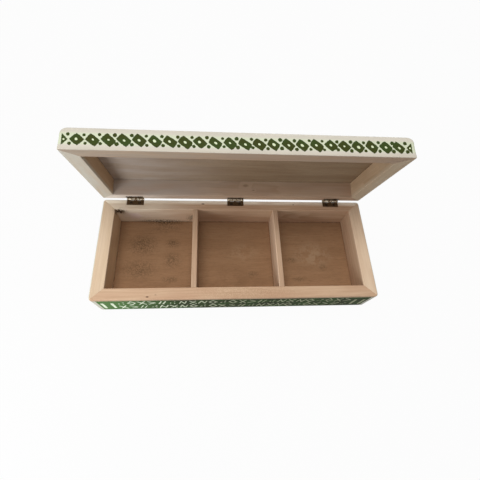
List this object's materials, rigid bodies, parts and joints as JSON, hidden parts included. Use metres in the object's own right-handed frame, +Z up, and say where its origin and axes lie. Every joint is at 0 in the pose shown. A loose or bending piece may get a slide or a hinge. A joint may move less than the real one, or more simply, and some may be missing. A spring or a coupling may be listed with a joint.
{
  "type": "tea bag organizer box",
  "caption": "Low rectangular wooden box with a divided tray for tea bag envelopes and a shallow hinged lid with rounded upper edges.",
  "frame": {"origin": "centre of the body's rectangular footprint, on the table it stands on", "axes": "+Z up; +X to the right as seen from the front, along the box's long side; +Y towards the hinged back"},
  "size_m": [0.27, 0.1242, 0.1426],
  "materials": {
    "body_board": "bare sanded wood inside and on the rim, painted green with pale motifs outside",
    "lid_board": "satin cream paint outside, bare sanded wood inside and on the rim",
    "lid_panel": "satin cream paint outside, bare plywood inside",
    "base_panel": "bare plywood",
    "divider": "bare sanded wood",
    "hinge_leaf": "dark antique bronze plating, rubbed brassy on the knuckles",
    "hinge_pin": "antique brass",
    "hinge_screw": "antique brass, slotted countersunk heads"
  },
  "bodies": {
    "box": {"front_wall": "body_board", "back_wall": "body_board", "left_wall": "body_board", "right_wall": "body_board", "base_panel": "base_panel", "divider_left": "divider", "divider_right": "divider", "left_hinge_body_leaf": "hinge_leaf", "left_hinge_pin": "hinge_pin", "left_hinge_body_screws": "hinge_screw", "middle_hinge_body_leaf": "hinge_leaf", "middle_hinge_pin": "hinge_pin", "middle_hinge_body_screws": "hinge_screw", "right_hinge_body_leaf": "hinge_leaf", "right_hinge_pin": "hinge_pin", "right_hinge_body_screws": "hinge_screw"},
    "lid": {"lid_front_rail": "lid_board", "lid_back_rail": "lid_board", "lid_left_rail": "lid_board", "lid_right_rail": "lid_board", "lid_panel": "lid_panel", "left_hinge_lid_leaf": "hinge_leaf", "left_hinge_lid_screws": "hinge_screw", "middle_hinge_lid_leaf": "hinge_leaf", "middle_hinge_lid_screws": "hinge_screw", "right_hinge_lid_leaf": "hinge_leaf", "right_hinge_lid_screws": "hinge_screw"}
  },
  "joints": [
    {"name": "lid_hinge", "type": "hinge", "parent": "box", "child": "lid", "pos_m": [0, 0.0534, 0.03625], "axis": [-1, 0, 0], "range_deg": [-77, 103]}
  ]
}
